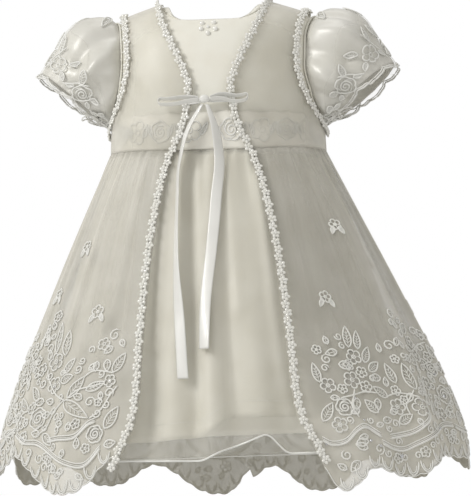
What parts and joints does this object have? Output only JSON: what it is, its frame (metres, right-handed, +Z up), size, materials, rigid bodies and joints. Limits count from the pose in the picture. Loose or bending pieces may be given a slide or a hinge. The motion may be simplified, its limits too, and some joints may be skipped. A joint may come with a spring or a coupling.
{
  "type": "christening gown",
  "caption": "Short christening gown in its worn shape: a satin dress with puff sleeves and a sheer overskirt under an open sheer coat with a scalloped lace hem, beaded braid and a ribbon tie.",
  "frame": {"origin": "point between the two shoulder neck points, where a wearer's shoulders hold the gown", "axes": "front faces -Y, +X is the wearer's left, +Z is up"},
  "size_m": [0.4315, 0.3108, 0.4649],
  "materials": {
    "satin": "ivory white satin with a soft sheen",
    "organza": "sheer crisp organza",
    "lace": "corded floral lace on sheer ground",
    "beaded_braid": "braid sewn with pearl flowers",
    "ribbon": "narrow satin ribbon"
  },
  "bodies": {
    "root": {"bodice_front": "satin", "bodice_back_left": "satin", "bodice_back_right": "satin", "underskirt_front": "satin", "underskirt_back": "satin", "sleeve_left": "satin", "sleeve_right": "satin", "armhole_piping_left": "satin", "armhole_piping_right": "satin", "overskirt_front": "organza", "overskirt_back": "organza", "coat_bodice_left": "organza", "coat_bodice_right": "organza", "coat_bodice_back": "organza", "coat_skirt_left": "organza", "coat_skirt_right": "organza", "coat_skirt_back": "organza", "waist_lace": "lace", "cuff_lace_left": "lace", "cuff_lace_right": "lace", "lace_border_left": "lace", "lace_border_right": "lace", "lace_border_back": "lace", "front_trim_left": "beaded_braid", "front_trim_right": "beaded_braid", "armhole_trim_left": "beaded_braid", "armhole_trim_right": "beaded_braid", "back_neck_trim": "beaded_braid", "ribbon_tie": "ribbon", "ribbon_knot": "ribbon", "ribbon_loop_left": "ribbon", "ribbon_loop_right": "ribbon", "ribbon_tail_left": "ribbon", "ribbon_tail_right": "ribbon"}
  },
  "joints": []
}
